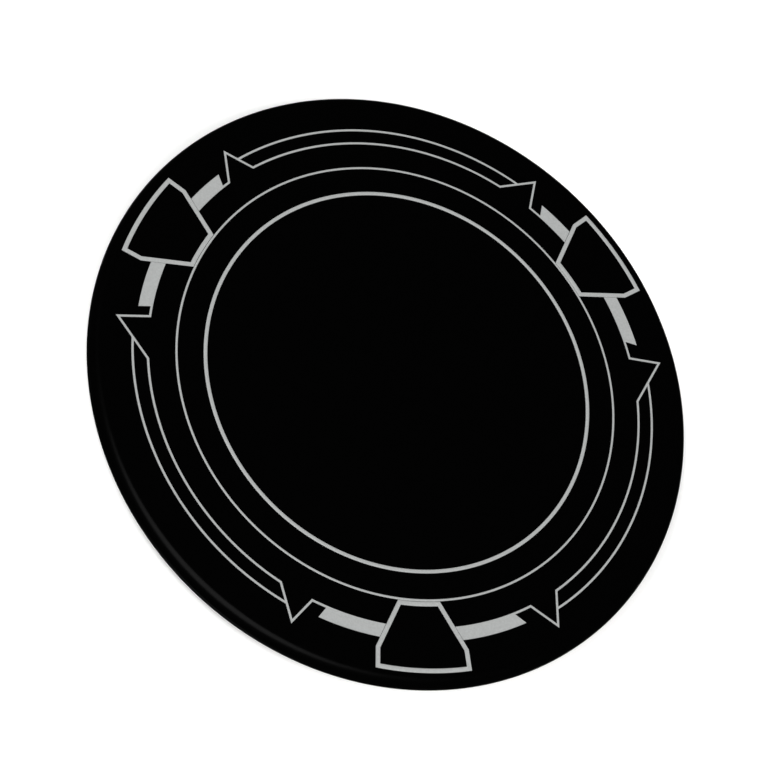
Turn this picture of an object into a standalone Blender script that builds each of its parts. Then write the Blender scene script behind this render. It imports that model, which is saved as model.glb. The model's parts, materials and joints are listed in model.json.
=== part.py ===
"""A two-sided dealer button, flat on the table with its front face up.

Two black moulded half shells close on a stamped steel weight. Each face carries a blank centre
disc inside a border ring, a thin ring, three tab frames and three sector lines, all of them
silver inlays let into grooves. Metres, +Z up, the back face on Z = 0.
"""

import math

import bmesh
import bpy
from mathutils import Matrix, Vector

MM = 0.001

# The body.
DIAMETER = 76.2 * MM
THICKNESS = 3.2 * MM
EDGE_WIDTH = 1.1 * MM  # how far the rounded edge reaches in from the rim
PLATE = 1.0 * MM  # wall of each half shell under its face
CAVITY_RADIUS = 29.0 * MM
JOINT_GAP = 0.1 * MM  # glue line between the halves
TONGUE_RADIUS = 33.6 * MM  # middle of the locating tongue on the back half
TONGUE_WIDTH = 1.2 * MM
TONGUE_HEIGHT = 0.5 * MM

# The weight, and the pins that keep it in the middle.
WEIGHT_RADIUS = 28.5 * MM
WEIGHT_THICKNESS = 1.0 * MM
WEIGHT_CHAMFER = 0.15 * MM
PIN_RADIUS = 1.0 * MM
PIN_CIRCLE = 26.2 * MM
PIN_ANGLES = (90, 210, 330)
HOLE_CLEARANCE = 0.15 * MM
SOCKET_DEPTH = 0.5 * MM
SOCKET_CLEARANCE = 0.1 * MM

# The inlays, which are all cut from one foil.
GROOVE_DEPTH = 0.3 * MM
INLAY_THICKNESS = 0.22 * MM
INLAY_RECESS = 0.03 * MM  # below the face, so that the button rests on its shell
CLEARANCE = 0.05 * MM  # from an inlay to its groove, and between two inlays

BORDER_RADIUS, BORDER_WIDTH = 24.42 * MM, 0.44 * MM
THIN_RADIUS, LINE_WIDTH = 27.91 * MM, 0.26 * MM
INNER_ARC, OUTER_ARC = 31.34 * MM, 33.15 * MM
BAR_RADIUS = 32.88 * MM  # outer edge of the wide bars beside each tab

# Half of a tab frame's centre line, as (radius, degrees from the tab's middle).
FRAME_WIDTH = 0.54 * MM
FRAME_TOP = (28.36 * MM, 4.95)
FRAME_KNEE = (34.11 * MM, 9.20)
FRAME_FOOT = (36.30 * MM, 8.91)

# Each tab: its middle, then what stands counter-clockwise and clockwise of it, in degrees from
# the middle: the bar's inner and outer end, the spike's near foot, point and far foot. The
# length is the radius of the spike's point.
TABS = (
    (32.9, (16.2, 17.4, 19.15, 21.6, 27.7, 35.0 * MM), (19.5, 20.7, 23.6, 25.2, 34.2, 35.3 * MM)),
    (149.4, (18.9, 19.6, 21.25, 22.7, 31.1, 35.1 * MM), (16.8, 17.9, 18.55, 22.5, 25.8, 34.7 * MM)),
    (270.0, (22.4, 23.9, 26.7, 29.9, 34.2, 34.9 * MM), (21.3, 22.2, 24.6, 26.7, 32.2, 34.8 * MM)),
)

SEGMENTS = 60  # straight sides to a full turn
PIN_SEGMENTS = 16
EDGE_STEPS = 6
CUT_OVERRUN = 0.5 * MM
WELD = 0.001 * MM

RADIUS = DIAMETER / 2
FACE = THICKNESS / 2  # height of a face above the parting plane, which is a half's own Z = 0
STEP = 360 / SEGMENTS


def clear_scene():
    for obj in list(bpy.data.objects):
        bpy.data.objects.remove(obj, do_unlink=True)


def material(name, red, green, blue, roughness, metallic):
    mat = bpy.data.materials.new(name)
    mat.use_nodes = True
    shader = mat.node_tree.nodes["Principled BSDF"]
    shader.inputs["Base Color"].default_value = (red, green, blue, 1)
    shader.inputs["Roughness"].default_value = roughness
    shader.inputs["Metallic"].default_value = metallic
    return mat


# Plane geometry. A path is a list of points, and runs counter-clockwise.


def polar(radius, degrees):
    angle = math.radians(degrees)
    return Vector((radius * math.cos(angle), radius * math.sin(angle)))


def degrees_of(point, near):
    """The point's polar angle, in the turn nearest to the angle given."""
    angle = math.degrees(math.atan2(point.y, point.x))
    return angle + 360 * round((near - angle) / 360)


def arc(radius, start, end):
    """Both ends, and the corners that a ring of the same radius has between them."""
    first = math.ceil((start + STEP / 12) / STEP)
    last = math.floor((end - STEP / 12) / STEP)
    angles = [start] + [STEP * i for i in range(first, last + 1)] + [end]
    return [polar(radius, angle) for angle in angles]


def circle(radius):
    return [polar(radius, STEP * i) for i in range(SEGMENTS)]


def offset(path, distance, closed=False):
    """The path moved sideways to its right, with mitred corners."""
    count = len(path)
    normals = []
    for i in range(count if closed else count - 1):
        along = (path[(i + 1) % count] - path[i]).normalized()
        normals.append(Vector((along.y, -along.x)))
    if not closed:
        normals.append(normals[-1])
    moved = []
    for i, point in enumerate(path):
        before = normals[i - 1] if closed or i > 0 else normals[0]
        after = normals[i]
        moved.append(point + (before + after) * distance / (1 + before.dot(after)))
    return moved


def crossing(inside, outside, radius):
    """Where the line from one point out through the other crosses a circle round the middle."""
    along = outside - inside
    a, b, c = along.dot(along), inside.dot(along), inside.dot(inside) - radius**2
    return inside + along * (-b + math.sqrt(b * b - a * c)) / a


def grown(loops, distance):
    """Outer loops run counter-clockwise and holes clockwise, so their right is always outwards."""
    return [offset(loop, distance, closed=True) for loop in loops]


# Outlines of the inlays, as loops.


def ring_loops(radius, width):
    return [circle(radius + width / 2), circle(radius - width / 2)[::-1]]


def frame_loops(middle):
    path = [polar(FRAME_KNEE[0], middle - FRAME_KNEE[1])]
    path += arc(FRAME_FOOT[0], middle - FRAME_FOOT[1], middle + FRAME_FOOT[1])
    path += [polar(FRAME_KNEE[0], middle + FRAME_KNEE[1])]
    path += arc(FRAME_TOP[0], middle - FRAME_TOP[1], middle + FRAME_TOP[1])[::-1]
    half = FRAME_WIDTH / 2
    return [offset(path, half, closed=True), offset(path, -half, closed=True)[::-1]]


def beside_frame(middle, side, radius):
    """The point at this radius that stands one clearance off the frame's slanted side."""
    top = polar(FRAME_TOP[0], middle + side * FRAME_TOP[1])
    knee = polar(FRAME_KNEE[0], middle + side * FRAME_KNEE[1])
    top, knee = offset([top, knee], side * -(FRAME_WIDTH / 2 + CLEARANCE))
    return crossing(top, knee, radius)


class Side:
    """What stands on one side of a tab: a bar, then a spike in the line that runs on from it."""

    def __init__(self, tab, side):
        self.middle, self.side = tab[0], side
        sizes = tab[1] if side > 0 else tab[2]
        angles = [self.middle + side * angle for angle in sizes[:5]]
        self.bar_inner, self.bar_outer, self.near, point, self.far = angles
        self.point = polar(sizes[5], point)
        self.junction = crossing(polar(INNER_ARC, self.far), self.point, OUTER_ARC)

    def start(self, radius):
        return beside_frame(self.middle, self.side, radius)


def sector_loops(tab, next_tab):
    """The line from one tab's side round to the next tab's, with its bars, spikes and two arcs."""
    first, last = Side(tab, 1), Side(next_tab, -1)
    if last.middle < first.middle:
        last = Side((next_tab[0] + 360, *next_tab[1:]), -1)
    half = LINE_WIDTH / 2
    ends = [side.start(INNER_ARC) for side in (first, last)]
    from_tab, to_tab = (
        degrees_of(end, side.middle) for end, side in zip(ends, (first, last), strict=True)
    )
    inner = arc(INNER_ARC, from_tab, first.near) + [first.point]
    inner += arc(INNER_ARC, first.far, last.far)
    inner += [last.point] + arc(INNER_ARC, last.near, to_tab)
    inner = offset(inner, -half)
    inner[0] = first.start(INNER_ARC - half)
    inner[-1] = last.start(INNER_ARC - half)

    between = arc(
        OUTER_ARC,
        degrees_of(first.junction, first.far),
        degrees_of(last.junction, last.far),
    )
    outer = arc(INNER_ARC, first.bar_inner, first.near) + [first.point]
    outer += between + [last.point] + arc(INNER_ARC, last.near, last.bar_inner)
    outer = offset(outer, half)
    bar_from = degrees_of(first.start(BAR_RADIUS), first.middle)
    bar_to = degrees_of(last.start(BAR_RADIUS), last.middle)
    outer = arc(BAR_RADIUS, bar_from, first.bar_outer) + outer
    outer += arc(BAR_RADIUS, last.bar_outer, bar_to)

    window = between + arc(INNER_ARC, first.far, last.far)[::-1]
    return [outer + inner[::-1], offset(window, -half, closed=True)[::-1]]


def inlays():
    """Every inlay of one face: its name and its loops."""
    named = {
        "border_ring": ring_loops(BORDER_RADIUS, BORDER_WIDTH),
        "thin_ring": ring_loops(THIN_RADIUS, LINE_WIDTH),
    }
    for i, tab in enumerate(TABS):
        named[f"tab_frame_{i + 1}"] = frame_loops(tab[0])
        named[f"sector_line_{i + 1}"] = sector_loops(tab, TABS[(i + 1) % len(TABS)])
    return named


# Solids.


def slab(name, loops, bottom, top):
    """A mesh with this flat outline, between two heights."""
    curve = bpy.data.curves.new(name, "CURVE")
    curve.dimensions = "2D"
    curve.fill_mode = "BOTH"
    curve.extrude = (top - bottom) / 2
    for loop in loops:
        spline = curve.splines.new("POLY")
        spline.points.add(len(loop) - 1)
        for point, place in zip(spline.points, loop, strict=True):
            point.co = (place.x, place.y, 0, 1)
        spline.use_cyclic_u = True
    holder = bpy.data.objects.new(name, curve)
    bpy.context.scene.collection.objects.link(holder)
    graph = bpy.context.evaluated_depsgraph_get()
    mesh = bpy.data.meshes.new_from_object(holder.evaluated_get(graph))
    bpy.data.objects.remove(holder, do_unlink=True)
    bpy.data.curves.remove(curve)
    shape = bmesh.new()
    shape.from_mesh(mesh)
    bmesh.ops.remove_doubles(shape, verts=shape.verts, dist=WELD)
    bmesh.ops.translate(shape, verts=shape.verts, vec=(0, 0, (top + bottom) / 2))
    shape.to_mesh(mesh)
    shape.free()
    mesh.name = name
    return mesh


def pegs(name, radius, bottom, top):
    """Three round pegs on the pin circle, as one mesh."""
    shape = bmesh.new()
    for angle in PIN_ANGLES:
        centre = polar(PIN_CIRCLE, angle)
        bmesh.ops.create_cone(
            shape,
            cap_ends=True,
            segments=PIN_SEGMENTS,
            radius1=radius,
            radius2=radius,
            depth=top - bottom,
            matrix=Matrix.Translation((centre.x, centre.y, (top + bottom) / 2)),
        )
    mesh = bpy.data.meshes.new(name)
    shape.to_mesh(mesh)
    shape.free()
    return mesh


def turned(name, profile):
    """A solid of revolution about Z. The profile runs from the axis at the top to the bottom."""
    mesh = bpy.data.meshes.new(name)
    shape = bmesh.new()
    corners = [shape.verts.new((radius, 0, height)) for radius, height in profile]
    for upper, lower in zip(corners, corners[1:]):
        shape.edges.new((upper, lower))
    shape.to_mesh(mesh)
    shape.free()
    obj = bpy.data.objects.new(name, mesh)
    screw = obj.modifiers.new("turn", "SCREW")
    screw.steps = screw.render_steps = SEGMENTS
    screw.use_merge_vertices = True
    screw.merge_threshold = WELD
    return obj


def shell_profile(with_tongue):
    """A half shell, face up: the back half has the tongue, the front half its groove."""
    parting = JOINT_GAP / 2
    reach, depth = TONGUE_WIDTH / 2, -TONGUE_HEIGHT
    if not with_tongue:
        reach, depth = reach + JOINT_GAP, TONGUE_HEIGHT + JOINT_GAP
    profile = [(0, FACE)]
    for i in range(EDGE_STEPS):
        turn = math.radians(90 * i / EDGE_STEPS)
        radius = RADIUS - EDGE_WIDTH * (1 - math.sin(turn))
        profile.append((radius, FACE * math.cos(turn)))
    profile += [
        (RADIUS, parting),
        (TONGUE_RADIUS + reach, parting),
        (TONGUE_RADIUS + reach, depth),
        (TONGUE_RADIUS - reach, depth),
        (TONGUE_RADIUS - reach, parting),
        (CAVITY_RADIUS, parting),
        (CAVITY_RADIUS, FACE - PLATE),
        (0, FACE - PLATE),
    ]
    return profile


class Button:
    """Collects the objects as they are made."""

    def __init__(self):
        scene = bpy.context.scene.collection
        self.parts = bpy.data.collections.new("dealer_button")
        self.cutters = bpy.data.collections.new("cutters")
        scene.children.link(self.parts)
        scene.children.link(self.cutters)
        self.black = material("black_moulded_plastic", 0.012, 0.012, 0.013, 0.45, 0)
        self.label = material("black_label_stock", 0.009, 0.009, 0.010, 0.55, 0)
        self.silver = material("silver_foil", 0.44, 0.45, 0.445, 0.5, 0.9)
        self.steel = material("zinc_plated_steel", 0.55, 0.56, 0.57, 0.4, 1)

    def half(self, name, turned_over):
        """The empty that carries one half: its Z = 0 is the parting plane, and its face is up."""
        empty = bpy.data.objects.new(name, None)
        empty.location = (0, 0, THICKNESS / 2)
        empty.rotation_euler = (0, math.pi if turned_over else 0, 0)
        self.cutters.objects.link(empty)
        return empty

    def add(self, obj, finish, parent):
        self.parts.objects.link(obj)
        obj.parent = parent
        obj.data.materials.clear()
        obj.data.materials.append(finish)
        return obj

    def operate(self, obj, mesh, operation="DIFFERENCE", solver="EXACT"):
        """Cuts the mesh from the object, or joins it on."""
        tool = bpy.data.objects.new(mesh.name, mesh)
        self.cutters.objects.link(tool)
        tool.parent = obj.parent
        tool.hide_render = True
        tool.display_type = "WIRE"
        boolean = obj.modifiers.new(mesh.name, "BOOLEAN")
        boolean.operation = operation
        boolean.solver = solver
        boolean.object = tool

    def shell(self, side, empty, outlines):
        """A half shell, with a groove for each inlay and one recess for ring and centre disc."""
        obj = turned(f"{side}_shell", shell_profile(with_tongue=side == "back"))
        self.add(obj, self.black, empty)
        floor, above = FACE - GROOVE_DEPTH, FACE + CUT_OVERRUN
        for name, loops in outlines.items():
            loops = grown(loops[:1] if name == "border_ring" else loops, CLEARANCE)
            groove = slab(f"{side}_{name}_groove", loops, floor, above)
            # The Exact solver leaves the back shell open along one of these thin grooves.
            self.operate(obj, groove, solver="MANIFOLD")
        return obj

    def face(self, side, empty, outlines):
        """The centre disc and the inlays, which lie a little below the face."""
        top = FACE - INLAY_RECESS
        bottom = top - INLAY_THICKNESS
        disc = circle(BORDER_RADIUS - BORDER_WIDTH / 2 - CLEARANCE)
        mesh = slab(f"{side}_centre_disc", [disc], bottom, top)
        self.add(bpy.data.objects.new(mesh.name, mesh), self.label, empty)
        for name, loops in outlines.items():
            mesh = slab(f"{side}_{name}", loops, bottom, top)
            self.add(bpy.data.objects.new(mesh.name, mesh), self.silver, empty)

    def weight(self, empty):
        half, edge = WEIGHT_THICKNESS / 2, WEIGHT_CHAMFER
        obj = turned(
            "steel_weight",
            [
                (0, half),
                (WEIGHT_RADIUS - edge, half),
                (WEIGHT_RADIUS, half - edge),
                (WEIGHT_RADIUS, edge - half),
                (WEIGHT_RADIUS - edge, -half),
                (0, -half),
            ],
        )
        self.add(obj, self.steel, empty)
        holes = pegs("weight_holes", PIN_RADIUS + HOLE_CLEARANCE, -FACE, FACE)
        self.operate(obj, holes)


def shade(obj):
    """Smooth round the turn, with crisp corners."""
    obj.data.shade_smooth()
    obj.data.set_sharp_from_angle(angle=math.radians(30))


def main():
    clear_scene()
    button = Button()
    outlines = inlays()
    front = button.half("front_half", turned_over=False)
    back = button.half("back_half", turned_over=True)

    front_shell = button.shell("front", front, outlines)
    inside = FACE - PLATE
    tip = -(inside + SOCKET_DEPTH - SOCKET_CLEARANCE)
    pins = pegs("weight_pins", PIN_RADIUS, tip, inside + GROOVE_DEPTH)
    button.operate(front_shell, pins, "UNION")
    back_shell = button.shell("back", back, outlines)
    radius = PIN_RADIUS + SOCKET_CLEARANCE
    sockets = pegs("pin_sockets", radius, 0, inside + SOCKET_DEPTH)
    button.operate(back_shell, sockets)

    button.weight(front)
    button.face("front", front, outlines)
    button.face("back", back, outlines)
    for obj in button.parts.objects:
        shade(obj)


main()
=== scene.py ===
"""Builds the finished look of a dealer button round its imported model.

Two black moulded half shells, a steel weight, a blank centre disc on each face and the silver
foil inlays: rings, tab frames and sector lines. Lengths are metres and angles are radians unless
a name says otherwise.
"""

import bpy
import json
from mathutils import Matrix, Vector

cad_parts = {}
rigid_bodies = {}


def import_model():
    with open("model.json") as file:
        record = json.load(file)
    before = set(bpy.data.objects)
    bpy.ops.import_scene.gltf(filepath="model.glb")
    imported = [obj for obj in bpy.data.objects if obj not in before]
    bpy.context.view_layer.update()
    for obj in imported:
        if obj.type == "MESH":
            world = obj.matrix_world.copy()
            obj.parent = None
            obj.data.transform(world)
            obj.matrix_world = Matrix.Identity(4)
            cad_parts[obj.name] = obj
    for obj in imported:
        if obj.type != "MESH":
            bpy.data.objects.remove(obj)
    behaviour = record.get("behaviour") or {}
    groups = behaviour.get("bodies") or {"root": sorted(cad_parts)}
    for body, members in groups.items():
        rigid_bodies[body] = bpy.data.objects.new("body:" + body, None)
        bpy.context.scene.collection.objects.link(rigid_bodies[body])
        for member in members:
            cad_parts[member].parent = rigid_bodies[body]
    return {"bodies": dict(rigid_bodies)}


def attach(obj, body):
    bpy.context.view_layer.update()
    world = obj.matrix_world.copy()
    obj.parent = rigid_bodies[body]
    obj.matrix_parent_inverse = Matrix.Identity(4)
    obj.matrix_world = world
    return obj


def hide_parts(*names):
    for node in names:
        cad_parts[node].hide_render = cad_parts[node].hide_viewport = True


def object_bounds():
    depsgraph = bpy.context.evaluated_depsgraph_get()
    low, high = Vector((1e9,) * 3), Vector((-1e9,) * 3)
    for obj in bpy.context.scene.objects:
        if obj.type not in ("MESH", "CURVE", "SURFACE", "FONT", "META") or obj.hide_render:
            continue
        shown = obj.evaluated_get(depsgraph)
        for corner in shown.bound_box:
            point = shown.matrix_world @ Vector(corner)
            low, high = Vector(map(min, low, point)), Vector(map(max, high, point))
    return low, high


bl_info = {
    "name": "Dealer Button",
    "version": (1, 0, 0),
    "blender": (4, 5, 0),
    "location": "View3D > Sidebar > Dealer Button",
    "description": "Models a flat two-sided dealer button with silver inlays, and a studio for it",
    "category": "Add Mesh",
}

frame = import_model()

import json
import math

import bpy
from bpy.props import FloatProperty, FloatVectorProperty, IntProperty, PointerProperty
from mathutils import Quaternion, Vector

CAD_LOW, CAD_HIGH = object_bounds()
MM = 0.001
# Points nearer to each other than this are one point.
MERGE = 0.005 * MM
# Faces that differ by less than this lie in one plane. The facets of the rounded rim differ by
# more from their neighbours, even beside the face.
SAME_PLANE = math.radians(0.04)
# Corners sharper than the first get a rounded edge. Edges sharper than the second stay crisp.
ROUNDED_CORNER = math.radians(40)
CRISP_CORNER = math.radians(35)
BODY = "root" if "root" in frame["bodies"] else next(iter(frame["bodies"]))
ORIGIN = (0, 0, 0)
Z_AXIS = (0, 0, 1)

# What stands on one side of a tab, in degrees from the tab's middle: the bar's inner and outer
# end, then the spike's near foot, point and far foot. The last is the radius of the point in mm.
# Each tab has its middle, its counter-clockwise side and its clockwise side.
TABS = (
    (32.9, (16.2, 17.4, 19.15, 21.6, 27.7, 35.0), (19.5, 20.7, 23.6, 25.2, 34.2, 35.3)),
    (149.4, (18.9, 19.6, 21.25, 22.7, 31.1, 35.1), (16.8, 17.9, 18.55, 22.5, 25.8, 34.7)),
    (270.0, (22.4, 23.9, 26.7, 29.9, 34.2, 34.9), (21.3, 22.2, 24.6, 26.7, 32.2, 34.8)),
)
# A bar is drawn this far past its slanted end, and then cut.
BAR_OVERRUN_DEG = 1
PIN_ANGLES_DEG = (90, 210, 330)
PIN_SIDES = 48
# The floor lies this far below the back face, as two faces in one plane would show as noise.
FLOOR_GAP = 0.05 * MM


def linear(hex_colour):
    """An sRGB hex colour as linear red, green, blue and alpha."""
    channels = [int(hex_colour[i : i + 2], 16) / 255 for i in (1, 3, 5)]
    channels = [c / 12.92 if c <= 0.04045 else ((c + 0.055) / 1.055) ** 2.4 for c in channels]
    return (*channels, 1.0)


def length(name, millimetres, description):
    return FloatProperty(
        name=name, default=millimetres * MM, min=0, precision=5, unit="LENGTH",
        description=description,
    )


def angle(name, degrees, description):
    return FloatProperty(
        name=name, default=math.radians(degrees), subtype="ANGLE", description=description
    )


def colour(name, hex_colour, description):
    return FloatVectorProperty(
        name=name, default=linear(hex_colour), size=4, min=0, max=1, subtype="COLOR",
        description=description,
    )


class BodySizes(bpy.types.PropertyGroup):
    """The two half shells and the weight between them."""

    diameter: length("Diameter", (CAD_HIGH.x - CAD_LOW.x) / MM, "Across the rim")
    thickness: length("Thickness", (CAD_HIGH.z - CAD_LOW.z) / MM, "Face to face")
    edge: length("Edge", 1.1, "How far the rounded edge reaches in from the rim")
    edge_steps: IntProperty(name="Edge steps", default=14, min=2, description="Facets of the edge")
    holding: length("Holding", 0.15, "From the edge to the loop that keeps the face's shading flat")
    notch: length("Notch", 0.12, "Depth of the V at the parting line")
    plate: length("Plate", 1.0, "Wall under each face")
    cavity: length("Cavity", 29.0, "Radius of the hollow that holds the weight")
    joint_gap: length("Joint gap", 0.1, "Glue line between the halves")
    tongue: length("Tongue", 33.6, "Radius of the locating tongue's middle")
    tongue_width: length("Tongue width", 1.2, "Width of the locating tongue")
    tongue_height: length("Tongue height", 0.5, "Height of the locating tongue")
    weight: length("Weight", 28.5, "Radius of the steel weight")
    weight_thickness: length("Weight thickness", 1.0, "Thickness of the steel weight")
    weight_rounding: length("Weight rounding", 0.15, "Rounded edge of the steel weight")
    pin: length("Pin", 1.0, "Radius of the three locating pins")
    pin_clearance: length("Pin clearance", 0.15, "From a pin to its hole in the weight")
    pin_circle: length("Pin circle", 26.2, "Radius on which the pins stand")
    smoothness: IntProperty(name="Smoothness", default=360, min=60, description="Sides to a turn")


class PatternSizes(bpy.types.PropertyGroup):
    """The inlaid pattern of each face."""

    border: length("Border ring", 24.42, "Radius of the bold ring's middle")
    border_width: length("Border width", 0.44, "Width of the bold ring")
    thin: length("Thin ring", 27.91, "Radius of the thin ring's middle")
    line: length("Line", 0.26, "Width of the thin ring and of the sector lines")
    inner_arc: length("Inner arc", 31.34, "Radius of the sectors' inner line")
    outer_arc: length("Outer arc", 33.15, "Radius of the sectors' outer line")
    bar: length("Bar", 32.88, "Radius of the wide bars' outer edge")
    frame: length("Frame", 0.54, "Width of the tab frames' band")
    frame_top: length("Frame top", 28.36, "Radius of a frame's inner band")
    frame_top_half: angle("Frame top half", 4.95, "Half of the angle that the inner band spans")
    frame_knee: length("Frame knee", 34.11, "Radius at which a frame's sides bend")
    frame_knee_half: angle("Frame knee half", 9.20, "Half of the angle between the bends")
    frame_foot: length("Frame foot", 36.30, "Radius of a frame's outer band")
    frame_foot_half: angle("Frame foot half", 8.91, "Half of the angle that the outer band spans")
    foil: length("Foil", 0.22, "Thickness of the inlays and the centre disc")
    groove: length("Groove", 0.3, "Depth of the grooves under the face")
    recess: length("Recess", 0.03, "How far the inlays lie below the face")
    clearance: length("Clearance", 0.05, "From an inlay to its groove and to the next inlay")
    rounding: length("Rounding", 0.03, "Rounded edge of an inlay")


class Finishes(bpy.types.PropertyGroup):
    """Colours of the materials and of the stage."""

    shell: colour("Shell", "#010101", "Black moulded plastic")
    label: colour("Label", "#010101", "Matt black label stock")
    foil_light: colour("Foil light", "#BFC1C0", "Bright grains of the silver foil")
    foil_dark: colour("Foil dark", "#B2B4B3", "Dull grains of the silver foil")
    zinc_light: colour("Zinc light", "#B9BEC4", "Bright crystals of the zinc plating")
    zinc_dark: colour("Zinc dark", "#8C9197", "Dull crystals of the zinc plating")
    floor: colour("Floor", "#F4F4F3", "Pale floor")


class Studio(bpy.types.PropertyGroup):
    """Camera and lights."""

    azimuth: angle("Azimuth", -42.6, "Camera's place round the button, from the front")
    elevation: angle("Elevation", 58.9, "Camera's height above the table")
    roll: angle("Roll", 42.8, "Turn of the camera round its own line of sight")
    distance: length("Distance", 286.4, "From the camera to the face")
    aim: FloatVectorProperty(
        name="Aim", default=(-2.37 * MM, -1.13 * MM), size=2, unit="LENGTH",
        description="Point of the face in the middle of the frame",
    )
    lens: FloatProperty(
        name="Lens", default=112.8, min=1, unit="CAMERA", description="Focal length in mm"
    )
    light: FloatProperty(name="Light", default=2.6, min=0, description="Strength of each light")
    ambient: FloatProperty(name="Ambient", default=0.02, min=0, description="Strength of the room")


# Places


def polar(radius, degrees, height=0.0):
    """The point at this radius and angle round the button's middle."""
    turn = math.radians(degrees)
    return Vector((radius * math.cos(turn), radius * math.sin(turn), height))


def crossing(inside, outside, radius):
    """Where the line from one point out through the other crosses a circle round the middle."""
    along = outside - inside
    a, b, c = along.dot(along), inside.dot(along), inside.dot(inside) - radius**2
    return inside + along * (-b + math.sqrt(b * b - a * c)) / a


def degrees_of(point, near):
    """The point's angle round the middle, in the turn nearest to the angle given."""
    turn = math.degrees(math.atan2(point.y, point.x))
    return turn + 360 * round((near - turn) / 360)


def direction(azimuth, elevation):
    """From the button towards that azimuth, counted from the front, and elevation."""
    flat = math.cos(elevation)
    return Vector((math.sin(azimuth) * flat, -math.cos(azimuth) * flat, math.sin(elevation)))


# Modelling by hand


def deselect():
    if bpy.context.mode != "OBJECT":
        bpy.ops.object.mode_set(mode="OBJECT")
    bpy.ops.object.select_all(action="DESELECT")


def make_active(piece):
    deselect()
    piece.select_set(True)
    bpy.context.view_layer.objects.active = piece


def edit(piece):
    """Edit mode with all of the piece selected."""
    make_active(piece)
    bpy.ops.object.mode_set(mode="EDIT")
    bpy.ops.mesh.select_mode(type="VERT")
    bpy.ops.mesh.select_all(action="SELECT")


def added(name):
    """Names what was just added, and puts its place into its mesh."""
    piece = bpy.context.object
    piece.name = piece.data.name = name
    bpy.ops.object.transform_apply(location=True, rotation=True, scale=True)
    return piece


def apply(piece, kind, **settings):
    """Adds a modifier, sets it and applies it."""
    make_active(piece)
    modifier = piece.modifiers.new(kind.lower(), kind)
    for setting, value in settings.items():
        setattr(modifier, setting, value)
    bpy.ops.object.modifier_apply(modifier=modifier.name)


def join_on(piece, tool):
    """Unites the tool with the piece. Both are closed, as the Manifold solver needs."""
    apply(piece, "BOOLEAN", operation="UNION", solver="MANIFOLD", object=tool)
    bpy.data.objects.remove(tool)


def cut_out(pieces, tool):
    """Cuts the tool out of each piece."""
    for piece in pieces:
        apply(piece, "BOOLEAN", operation="DIFFERENCE", solver="MANIFOLD", object=tool)
    bpy.data.objects.remove(tool)


class Pen:
    """Draws a line of edges from point to point, by extruding a single vertex."""

    def __init__(self, name, start):
        deselect()
        bpy.ops.mesh.primitive_plane_add(size=MM, location=start)
        self.piece = added(name)
        edit(self.piece)
        bpy.ops.mesh.merge(type="CENTER")
        self.place = Vector(start)

    def straight(self, point):
        bpy.ops.mesh.extrude_vertices_move(TRANSFORM_OT_translate={"value": point - self.place})
        self.place = Vector(point)

    def arc(self, degrees, per_turn):
        """On round the button's middle, counter-clockwise where degrees is positive."""
        turn = math.radians(degrees)
        steps = max(1, round(abs(degrees) / 360 * per_turn))
        # The spin tool counts clockwise as positive.
        bpy.ops.mesh.spin(steps=steps, angle=-turn, center=ORIGIN, axis=Z_AXIS)
        self.place = Quaternion(Z_AXIS, turn) @ self.place

    def wall(self, width, height, closed=False):
        """The line stood up as a wall of this width, with mitred corners."""
        bpy.ops.mesh.select_all(action="SELECT")
        if closed:
            bpy.ops.mesh.remove_doubles(threshold=MERGE)
            bpy.ops.mesh.select_all(action="SELECT")
        bpy.ops.mesh.extrude_region_move(TRANSFORM_OT_translate={"value": (0, 0, height)})
        apply(self.piece, "SOLIDIFY", thickness=width, offset=0, use_even_offset=True)
        recalculate(self.piece)
        return self.piece

    def turned(self, per_turn):
        """The line as a profile turned round Z."""
        bpy.ops.mesh.select_all(action="SELECT")
        bpy.ops.mesh.spin(steps=per_turn, angle=math.tau, center=ORIGIN, axis=Z_AXIS)
        recalculate(self.piece)
        return self.piece


def recalculate(piece):
    """Merges doubles and turns all faces outwards."""
    edit(piece)
    bpy.ops.mesh.remove_doubles(threshold=MERGE)
    bpy.ops.mesh.select_all(action="SELECT")
    bpy.ops.mesh.normals_make_consistent(inside=False)
    bpy.ops.object.mode_set(mode="OBJECT")


def join_flats(piece):
    """Makes one face of all that lie in one plane, as a union leaves them in slivers."""
    recalculate(piece)
    edit(piece)
    bpy.ops.mesh.dissolve_limited(angle_limit=SAME_PLANE)
    recalculate(piece)


def disc(name, radius, bottom, top, sides):
    """A round plate: a filled circle, extruded."""
    deselect()
    bpy.ops.mesh.primitive_circle_add(
        vertices=sides, radius=radius, fill_type="NGON", location=(0, 0, bottom)
    )
    piece = added(name)
    edit(piece)
    bpy.ops.mesh.extrude_region_move(TRANSFORM_OT_translate={"value": (0, 0, top - bottom)})
    recalculate(piece)
    return piece


def ring(name, radius, width, bottom, top, sides):
    """A flat ring: a circle stood up as a wall, and thickened both ways."""
    deselect()
    bpy.ops.mesh.primitive_circle_add(vertices=sides, radius=radius, location=(0, 0, bottom))
    piece = added(name)
    edit(piece)
    bpy.ops.mesh.extrude_edges_move(TRANSFORM_OT_translate={"value": (0, 0, top - bottom)})
    apply(piece, "SOLIDIFY", thickness=width, offset=0, use_even_offset=True)
    recalculate(piece)
    return piece


def pegs(name, circle, radius, bottom, top):
    """Three round pegs as one piece."""
    deselect()
    made = []
    for degrees in PIN_ANGLES_DEG:
        bpy.ops.mesh.primitive_cylinder_add(
            vertices=PIN_SIDES, radius=radius, depth=top - bottom,
            location=polar(circle, degrees, (top + bottom) / 2),
        )
        made.append(bpy.context.object)
    for piece in made:
        piece.select_set(True)
    bpy.ops.object.join()
    return added(name)


def slice_off(piece, point, outwards):
    """Cuts the piece along an upright plane and removes what lies beyond it."""
    edit(piece)
    bpy.ops.mesh.bisect(
        plane_co=point, plane_no=outwards, use_fill=True, clear_outer=True, threshold=MERGE
    )
    bpy.ops.object.mode_set(mode="OBJECT")


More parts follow.
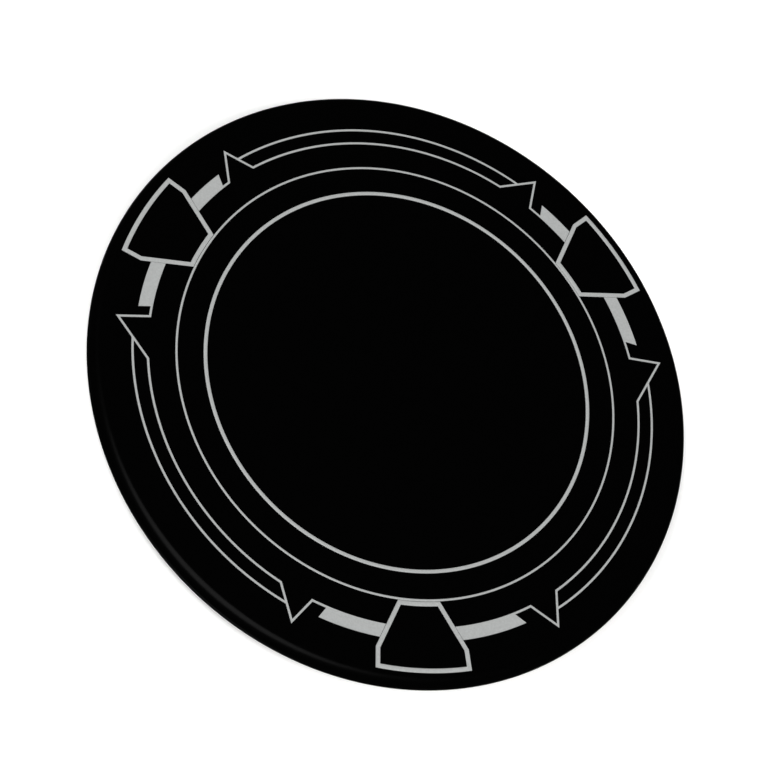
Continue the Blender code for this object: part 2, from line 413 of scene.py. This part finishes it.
def round_edges(piece, width):
    """A small rounded edge all round."""
    apply(
        piece, "BEVEL", width=width, segments=2, limit_method="ANGLE",
        angle_limit=ROUNDED_CORNER, use_clamp_overlap=True,
    )
    shade(piece)


def shade(piece):
    """Smooth rounds and crisp corners. The weights keep flat faces flat beside a rounded edge."""
    make_active(piece)
    bpy.ops.object.shade_smooth_by_angle(angle=CRISP_CORNER)
    apply(piece, "WEIGHTED_NORMAL", mode="FACE_AREA", weight=50, keep_sharp=True)


def copied(piece, name, rotation, location=ORIGIN):
    """A copy with its own mesh, turned and then moved, with its place in its mesh."""
    copy = piece.copy()
    copy.data = piece.data.copy()
    bpy.context.scene.collection.objects.link(copy)
    copy.rotation_euler = rotation
    copy.location = location
    make_active(copy)
    return added(name)


def turned_over(piece, name, thickness):
    """A copy of a front piece on the back face: half a turn about Y, through the middle."""
    return copied(piece, name, (0, math.pi, 0), (0, 0, thickness))


def stands_for(piece, node, material):
    """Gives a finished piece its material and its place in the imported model."""
    piece.data.materials.clear()
    piece.data.materials.append(material)
    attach(piece, BODY)
    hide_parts(node)


# Outlines of the pattern


class Side:
    """What stands on one side of a tab: a wide bar, then a spike in the line that runs on."""

    def __init__(self, tab, sign, middle, sizes):
        self.sign, self.middle, self.sizes = sign, middle, sizes
        *angles, point_radius = tab[1] if sign > 0 else tab[2]
        places = [middle + sign * place for place in angles]
        self.bar_inner, self.bar_outer, self.near, point, self.far = places
        self.point = polar(point_radius * MM, point)
        self.far_foot = polar(sizes.inner_arc, self.far)
        self.junction = crossing(self.far_foot, self.point, sizes.outer_arc)
        self.start = middle + sign * math.degrees(sizes.frame_top_half)

    def beyond(self, inner, outer):
        """The sideways direction, away from the tab, of the line from one point to the other."""
        along = (outer - inner).normalized()
        return Vector((-along.y, along.x, 0)) * self.sign

    def frame_plane(self, gap):
        """The upright plane beside the tab frame: a point and the direction towards the frame."""
        sizes = self.sizes
        top = polar(sizes.frame_top, self.start)
        knee = self.middle + self.sign * math.degrees(sizes.frame_knee_half)
        away = self.beyond(top, polar(sizes.frame_knee, knee))
        return top + away * (sizes.frame / 2 + gap), -away

    def bar_end_plane(self, spare):
        """The upright plane of the bar's free end: a point and the direction out of the bar."""
        sizes = self.sizes
        inner = polar(sizes.inner_arc + sizes.line / 2, self.bar_inner)
        away = self.beyond(inner, polar(sizes.bar, self.bar_outer))
        return inner + away * spare, away


def tab_frame(name, sizes, sides, spare, bottom, top):
    """A closed band round the tab at angle 0, wider by the spare all round."""
    foot = math.degrees(sizes.frame_foot_half)
    knee = math.degrees(sizes.frame_knee_half)
    half_top = math.degrees(sizes.frame_top_half)
    pen = Pen(name, polar(sizes.frame_foot, -foot, bottom))
    pen.arc(2 * foot, sides)
    pen.straight(polar(sizes.frame_knee, knee, bottom))
    pen.straight(polar(sizes.frame_top, half_top, bottom))
    pen.arc(-2 * half_top, sides)
    pen.straight(polar(sizes.frame_knee, -knee, bottom))
    pen.straight(polar(sizes.frame_foot, -foot, bottom))
    return pen.wall(sizes.frame + 2 * spare, top - bottom, closed=True)


def wide_bar(name, side, sides, spare, bottom, top):
    """The bar beside a tab, cut off aslant at its free end."""
    inner, outer = side.sizes.inner_arc, side.sizes.bar + spare
    end = max(abs(side.bar_inner - side.middle), abs(side.bar_outer - side.middle))
    past_end = side.middle + side.sign * (end + BAR_OVERRUN_DEG)
    pen = Pen(name, polar((inner + outer) / 2, side.start, bottom))
    pen.arc(past_end - side.start, sides)
    bar = pen.wall(outer - inner, top - bottom)
    slice_off(bar, *side.bar_end_plane(spare))
    return bar


def sector_line(name, sizes, index, sides, spare, bottom, top):
    """The line from one tab to the next: bar, spike, twin arcs, spike, bar, all in one piece."""
    tab, after = TABS[index], TABS[(index + 1) % len(TABS)]
    middle = after[0] if after[0] > tab[0] else after[0] + 360
    first, last = Side(tab, 1, tab[0], sizes), Side(after, -1, middle, sizes)
    width, height = sizes.line + 2 * spare, top - bottom
    lift = Vector((0, 0, bottom))

    pen = Pen(name, polar(sizes.inner_arc, first.start, bottom))
    pen.arc(first.near - first.start, sides)
    pen.straight(first.point + lift)
    pen.straight(first.far_foot + lift)
    pen.arc(last.far - first.far, sides)
    pen.straight(last.point + lift)
    pen.straight(polar(sizes.inner_arc, last.near, bottom))
    pen.arc(last.start - last.near, sides)
    line = pen.wall(width, height)

    begin = degrees_of(first.junction, first.far)
    pen = Pen("outer_arc", first.junction + lift)
    pen.arc(degrees_of(last.junction, last.far) - begin, sides)
    join_on(line, pen.wall(width, height))
    for side in (first, last):
        bar = wide_bar("bar", side, sides, spare, bottom, top)
        for piece in (line, bar):
            slice_off(piece, *side.frame_plane(sizes.clearance - spare))
        join_on(line, bar)
    join_flats(line)
    return line


def pattern(sizes, sides, spare, bottom, top):
    """The rings, frames and sector lines of the front face, by node name without its face.

    Each is wider by the spare all round, which makes it the cutter for its own groove.
    """
    made = {
        "border_ring": ring(
            "border_ring", sizes.border, sizes.border_width + 2 * spare, bottom, top, sides
        ),
        "thin_ring": ring("thin_ring", sizes.thin, sizes.line + 2 * spare, bottom, top, sides),
    }
    model = tab_frame("tab_frame", sizes, sides, spare, bottom, top)
    for i, tab in enumerate(TABS):
        name = f"tab_frame_{i + 1}"
        made[name] = copied(model, name, (0, 0, math.radians(tab[0])))
        name = f"sector_line_{i + 1}"
        made[name] = sector_line(name, sizes, i, sides, spare, bottom, top)
    bpy.data.objects.remove(model)
    return made


# The half shells


def half_shell(name, body, has_tongue):
    """A half shell, face up: a profile turned round Z, from the face to the parting plane."""
    half = body.thickness / 2
    parting = half + body.joint_gap / 2
    reach, depth = body.tongue_width / 2, half - body.tongue_height
    if not has_tongue:
        # The groove for the tongue is wider and deeper than it by the glue line.
        reach, depth = reach + body.joint_gap, half + body.tongue_height + body.joint_gap
    flat = body.diameter / 2 - body.edge
    # The rounding stops where the V notch starts.
    last_turn = math.acos((body.notch + body.joint_gap / 2) / half)
    profile = [(flat - body.holding, body.thickness)]
    for i in range(body.edge_steps + 1):
        turn = last_turn * i / body.edge_steps
        profile.append((flat + body.edge * math.sin(turn), half + half * math.cos(turn)))
    profile += [
        (body.diameter / 2 - body.notch, parting),
        (body.tongue + reach, parting),
        (body.tongue + reach, depth),
        (body.tongue - reach, depth),
        (body.tongue - reach, parting),
        (body.cavity, parting),
        (body.cavity, body.thickness - body.plate),
        (0, body.thickness - body.plate),
    ]
    pen = Pen(name, Vector((0, 0, body.thickness)))
    for radius, height in profile:
        pen.straight(Vector((radius, 0, height)))
    return pen.turned(body.smoothness)


# Materials

# A Mix node has sockets of one name for each type of value, so its colour sockets go by number.
MIX_FIRST, MIX_SECOND, MIX_RESULT = 6, 7, 2
# A pattern's values crowd round their middle, so Map Range nodes stretch the middle half.
MIDDLE_HALF = {"From Min": 0.25, "From Max": 0.75}


class Material:
    """A node material under way. Its patterns read Object coordinates."""

    def __init__(self, name):
        self.made = bpy.data.materials.new(name)
        self.made.use_nodes = True
        self.made.node_tree.nodes.clear()
        self.place = self.add("TexCoord").outputs["Object"]

    def add(self, kind, inputs=None, **settings):
        """Adds a shader node. An input is a value, or another node's output to link."""
        tree = self.made.node_tree
        node = tree.nodes.new("ShaderNode" + kind)
        for setting, value in settings.items():
            setattr(node, setting, value)
        for socket, value in (inputs or {}).items():
            if isinstance(value, bpy.types.NodeSocket):
                tree.links.new(value, node.inputs[socket])
            else:
                node.inputs[socket].default_value = value
        return node


def per_mm(size):
    """The scale of a texture whose grains are this many millimetres wide."""
    return 1 / (size * MM)


def moulded_abs(colours):
    """Black ABS, moulded in a spark-eroded tool: a deep black with a fine satin grain."""
    plastic = Material("moulded_abs")
    mottle = plastic.add("TexNoise", {"Vector": plastic.place, "Scale": per_mm(0.8)})
    gloss = plastic.add("MapRange", {
        "Value": mottle.outputs["Fac"], **MIDDLE_HALF, "To Min": 0.3, "To Max": 0.36
    })
    # The spark grain is about 0.05 mm wide, and is drawn at 0.3 mm, where it shows.
    grain = plastic.add("TexNoise", {"Vector": plastic.place, "Scale": per_mm(0.3)})
    bump = plastic.add("Bump", {"Height": grain.outputs["Fac"], "Distance": 0.002 * MM})
    shader = plastic.add("BsdfPrincipled", {
        "Base Color": colours.shell,
        "IOR": 1.54,
        "Specular IOR Level": 0.05,
        "Roughness": gloss.outputs["Result"],
        "Normal": bump.outputs["Normal"],
    })
    plastic.add("OutputMaterial", {"Surface": shader.outputs["BSDF"]})
    return plastic.made


def printed_vinyl(colours):
    """Matt black printed vinyl: smoother than the moulding, with a faint mottle in its gloss."""
    vinyl = Material("printed_vinyl")
    mottle = vinyl.add("TexNoise", {"Vector": vinyl.place, "Scale": per_mm(1.6)})
    gloss = vinyl.add("MapRange", {
        "Value": mottle.outputs["Fac"], **MIDDLE_HALF, "To Min": 0.34, "To Max": 0.4
    })
    ink = vinyl.add("TexNoise", {"Vector": vinyl.place, "Scale": per_mm(0.6)})
    bump = vinyl.add("Bump", {"Height": ink.outputs["Fac"], "Distance": 0.001 * MM})
    shader = vinyl.add("BsdfPrincipled", {
        "Base Color": colours.label,
        "IOR": 1.5,
        "Specular IOR Level": 0.05,
        "Roughness": gloss.outputs["Result"],
        "Normal": bump.outputs["Normal"],
    })
    vinyl.add("OutputMaterial", {"Surface": shader.outputs["BSDF"]})
    return vinyl.made


def satin_aluminium_foil(colours):
    """Satin aluminium foil: an even silver grey with a very fine mottled grain."""
    foil = Material("satin_aluminium_foil")
    # The rolled grain is about 0.05 mm wide, and is drawn at 0.22 mm, where it shows.
    grain = foil.add("TexNoise", {"Vector": foil.place, "Scale": per_mm(0.22), "Detail": 3})
    tone = foil.add("MapRange", {
        "Value": grain.outputs["Fac"], **MIDDLE_HALF, "To Min": 0, "To Max": 1
    })
    inputs = {
        "Factor": tone.outputs["Result"],
        MIX_FIRST: colours.foil_dark,
        MIX_SECOND: colours.foil_light,
    }
    silver = foil.add("Mix", inputs, data_type="RGBA")
    mottle = foil.add("TexNoise", {"Vector": foil.place, "Scale": per_mm(0.5)})
    gloss = foil.add("MapRange", {
        "Value": mottle.outputs["Fac"], **MIDDLE_HALF, "To Min": 0.42, "To Max": 0.52
    })
    bump = foil.add("Bump", {"Height": grain.outputs["Fac"], "Distance": 0.003 * MM})
    shader = foil.add("BsdfPrincipled", {
        "Base Color": silver.outputs[MIX_RESULT],
        "Metallic": 0.5,
        "Roughness": gloss.outputs["Result"],
        "Normal": bump.outputs["Normal"],
    })
    foil.add("OutputMaterial", {"Surface": shader.outputs["BSDF"]})
    return foil.made


def zinc_plated_steel(colours):
    """Bright zinc on stamped steel: pale metal in blotches a few millimetres across."""
    steel = Material("zinc_plated_steel")
    crystals = steel.add("TexVoronoi", {"Vector": steel.place, "Scale": per_mm(3.5)})
    tone = steel.add("MapRange", {
        "Value": crystals.outputs["Distance"], **MIDDLE_HALF, "To Min": 0, "To Max": 1
    })
    inputs = {
        "Factor": tone.outputs["Result"],
        MIX_FIRST: colours.zinc_dark,
        MIX_SECOND: colours.zinc_light,
    }
    zinc = steel.add("Mix", inputs, data_type="RGBA")
    mottle = steel.add("TexNoise", {"Vector": steel.place, "Scale": per_mm(1.2)})
    gloss = steel.add("MapRange", {
        "Value": mottle.outputs["Fac"], **MIDDLE_HALF, "To Min": 0.3, "To Max": 0.45
    })
    rolled = steel.add("TexNoise", {"Vector": steel.place, "Scale": per_mm(0.3)})
    bump = steel.add("Bump", {"Height": rolled.outputs["Fac"], "Distance": 0.002 * MM})
    shader = steel.add("BsdfPrincipled", {
        "Base Color": zinc.outputs[MIX_RESULT],
        "Metallic": 1.0,
        "Roughness": gloss.outputs["Result"],
        "Normal": bump.outputs["Normal"],
    })
    steel.add("OutputMaterial", {"Surface": shader.outputs["BSDF"]})
    return steel.made


def matt_sweep(colours):
    """A seamless matt sweep, a little uneven as a painted studio floor is."""
    sweep = Material("matt_sweep")
    strokes = sweep.add("TexNoise", {"Vector": sweep.place, "Scale": per_mm(30)})
    gloss = sweep.add("MapRange", {
        "Value": strokes.outputs["Fac"], **MIDDLE_HALF, "To Min": 0.8, "To Max": 0.9
    })
    inputs = {"Base Color": colours.floor, "Roughness": gloss.outputs["Result"]}
    shader = sweep.add("BsdfPrincipled", inputs)
    sweep.add("OutputMaterial", {"Surface": shader.outputs["BSDF"]})
    return sweep.made


# Operators


class BUTTON_OT_shells(bpy.types.Operator):
    """Model both moulded half shells, with a groove for each inlay"""

    bl_idname = "dealer_button.shells"
    bl_label = "Half shells"

    def execute(self, context):
        scene = context.scene
        body, inlay = scene.button_body, scene.button_pattern
        front = half_shell("front_shell_moulding", body, has_tongue=False)
        back = half_shell("back_shell_face_up", body, has_tongue=True)
        floor, above = body.thickness - inlay.groove, body.thickness + body.plate
        tools = pattern(inlay, body.smoothness, inlay.clearance, floor, above)
        # The bold ring lies in one round recess with the centre disc.
        bpy.data.objects.remove(tools.pop("border_ring"))
        recess = inlay.border + inlay.border_width / 2 + inlay.clearance
        tools["recess"] = disc("recess", recess, floor, above, body.smoothness)
        for tool in tools.values():
            cut_out((front, back), tool)

        # The pins are rooted a quarter into the front's plate, and the sockets go half way into the
        # back's.
        inside = body.thickness - body.plate
        pin_root, socket_floor = inside + body.plate / 4, inside + body.plate / 2
        pin_end = body.thickness - socket_floor + body.joint_gap
        join_on(front, pegs("pins", body.pin_circle, body.pin, pin_end, pin_root))
        socket, below = body.pin + body.joint_gap, inside - MM
        cut_out((back,), pegs("sockets", body.pin_circle, socket, below, socket_floor))

        over = turned_over(back, "back_shell_moulding", body.thickness)
        bpy.data.objects.remove(back)
        material = moulded_abs(scene.button_finishes)
        for piece, node in ((front, "front_shell"), (over, "back_shell")):
            join_flats(piece)
            shade(piece)
            stands_for(piece, node, material)
        return {"FINISHED"}


class BUTTON_OT_weight(bpy.types.Operator):
    """Model the stamped steel weight, with its holes for the pins"""

    bl_idname = "dealer_button.weight"
    bl_label = "Steel weight"

    def execute(self, context):
        body = context.scene.button_body
        middle, half = body.thickness / 2, body.weight_thickness / 2
        weight = disc("stamped_weight", body.weight, middle - half, middle + half, body.smoothness)
        hole = body.pin + body.pin_clearance
        cut_out((weight,), pegs("holes", body.pin_circle, hole, 0, body.thickness))
        round_edges(weight, body.weight_rounding)
        material = zinc_plated_steel(context.scene.button_finishes)
        stands_for(weight, "steel_weight", material)
        return {"FINISHED"}


class BUTTON_OT_discs(bpy.types.Operator):
    """Model the blank centre disc of each face"""

    bl_idname = "dealer_button.discs"
    bl_label = "Centre discs"

    def execute(self, context):
        scene = context.scene
        body, inlay = scene.button_body, scene.button_pattern
        top = body.thickness - inlay.recess
        radius = inlay.border - inlay.border_width / 2 - inlay.clearance
        front = disc("front_centre_label", radius, top - inlay.foil, top, body.smoothness)
        round_edges(front, inlay.rounding)
        back = turned_over(front, "back_centre_label", body.thickness)
        material = printed_vinyl(scene.button_finishes)
        for piece, node in ((front, "front_centre_disc"), (back, "back_centre_disc")):
            stands_for(piece, node, material)
        return {"FINISHED"}


class BUTTON_OT_inlays(bpy.types.Operator):
    """Model the silver inlays of both faces: rings, tab frames and sector lines"""

    bl_idname = "dealer_button.inlays"
    bl_label = "Silver inlays"

    def execute(self, context):
        scene = context.scene
        body, inlay = scene.button_body, scene.button_pattern
        top = body.thickness - inlay.recess
        material = satin_aluminium_foil(scene.button_finishes)
        for node, front in pattern(inlay, body.smoothness, 0, top - inlay.foil, top).items():
            round_edges(front, inlay.rounding)
            back = turned_over(front, f"back_{node}_foil", body.thickness)
            front.name = front.data.name = f"front_{node}_foil"
            stands_for(front, f"front_{node}", material)
            stands_for(back, f"back_{node}", material)
        return {"FINISHED"}


class BUTTON_OT_stage(bpy.types.Operator):
    """Set up the pale floor, the soft lights and the camera"""

    bl_idname = "dealer_button.stage"
    bl_label = "Studio"

    def execute(self, context):
        scene = context.scene
        self.lay_floor(scene)
        self.hang_lights(scene)
        self.place_camera(scene)
        return {"FINISHED"}

    def lay_floor(self, scene):
        """A wide round floor whose rim curves up into a low wall, just clear of the back face."""
        deselect()
        radius, rise, sides, steps = 3.5, 0.7, 128, 12
        bpy.ops.mesh.primitive_circle_add(
            vertices=sides, radius=radius, fill_type="NGON",
            location=(0, 0, CAD_LOW.z - FLOOR_GAP),
        )
        floor = added("floor")
        edit(floor)
        here = Vector((radius, 0))
        for i in range(1, steps + 1):
            turn = math.pi / 2 * i / steps
            there = Vector((radius + rise * math.sin(turn), rise * (1 - math.cos(turn))))
            bpy.ops.mesh.extrude_region_move(
                TRANSFORM_OT_translate={"value": (0, 0, there.y - here.y)}
            )
            grow = there.x / here.x
            bpy.ops.transform.resize(value=(grow, grow, 1), center_override=ORIGIN)
            here = there
        bpy.ops.mesh.delete(type="ONLY_FACE")
        bpy.ops.object.mode_set(mode="OBJECT")
        shade(floor)
        floor.data.materials.append(matt_sweep(scene.button_finishes))
        floor.visible_glossy = False

    def hang_lights(self, scene):
        """Three broad soft lights. Only the key, behind the camera, shows as a highlight."""
        studio = scene.button_studio
        # Each light's name, then its degrees aside from the camera, its height and its breadth.
        lights = (("key", 0, 50, 60), ("left", -95, 38, 40), ("right", 95, 38, 40))
        for name, aside, up, breadth in lights:
            bpy.ops.object.light_add(type="SUN")
            light = bpy.context.object
            light.name = name + "_light"
            light.data.energy = studio.light
            light.data.angle = math.radians(breadth)
            light.visible_glossy = name == "key"
            towards = direction(studio.azimuth + math.radians(aside), math.radians(up))
            light.rotation_mode = "QUATERNION"
            light.rotation_quaternion = towards.to_track_quat("Z", "Y")
        world = bpy.data.worlds.new("room")
        world.use_nodes = True
        world.node_tree.nodes["Background"].inputs["Strength"].default_value = studio.ambient
        world.node_tree.nodes["Background"].inputs["Color"].default_value = (1, 1, 1, 1)
        scene.world = world
        scene.view_settings.view_transform = "Standard"

    def place_camera(self, scene):
        studio = scene.button_studio
        back = direction(studio.azimuth, studio.elevation)
        aim = Vector((*studio.aim, CAD_HIGH.z))
        bpy.ops.object.camera_add(location=aim + back * studio.distance)
        camera = bpy.context.object
        camera.name = "camera"
        camera.data.lens = studio.lens
        camera.data.clip_start = 10 * MM
        camera.rotation_mode = "QUATERNION"
        turn = Quaternion(Z_AXIS, studio.roll)
        camera.rotation_quaternion = (-back).to_track_quat("-Z", "Y") @ turn
        scene.camera = camera


class BUTTON_PT_panel(bpy.types.Panel):
    """Lists the steps of the model"""

    bl_label = "Dealer Button"
    bl_idname = "BUTTON_PT_panel"
    bl_space_type = "VIEW_3D"
    bl_region_type = "UI"
    bl_category = "Dealer Button"

    def draw(self, context):
        for operator in OPERATORS:
            self.layout.operator(operator.bl_idname)


SETTINGS = {
    "button_body": BodySizes,
    "button_pattern": PatternSizes,
    "button_finishes": Finishes,
    "button_studio": Studio,
}
OPERATORS = (
    BUTTON_OT_stage,
    BUTTON_OT_shells,
    BUTTON_OT_weight,
    BUTTON_OT_discs,
    BUTTON_OT_inlays,
)
CLASSES = (*SETTINGS.values(), *OPERATORS, BUTTON_PT_panel)


def register():
    for each in CLASSES:
        bpy.utils.register_class(each)
    for name, group in SETTINGS.items():
        setattr(bpy.types.Scene, name, PointerProperty(type=group))


def unregister():
    for name in SETTINGS:
        delattr(bpy.types.Scene, name)
    for each in reversed(CLASSES):
        bpy.utils.unregister_class(each)


def main():
    register()
    deselect()
    bpy.ops.dealer_button.stage()
    bpy.ops.dealer_button.shells()
    bpy.ops.dealer_button.weight()
    bpy.ops.dealer_button.discs()
    bpy.ops.dealer_button.inlays()


if __name__ == "__main__":
    main()
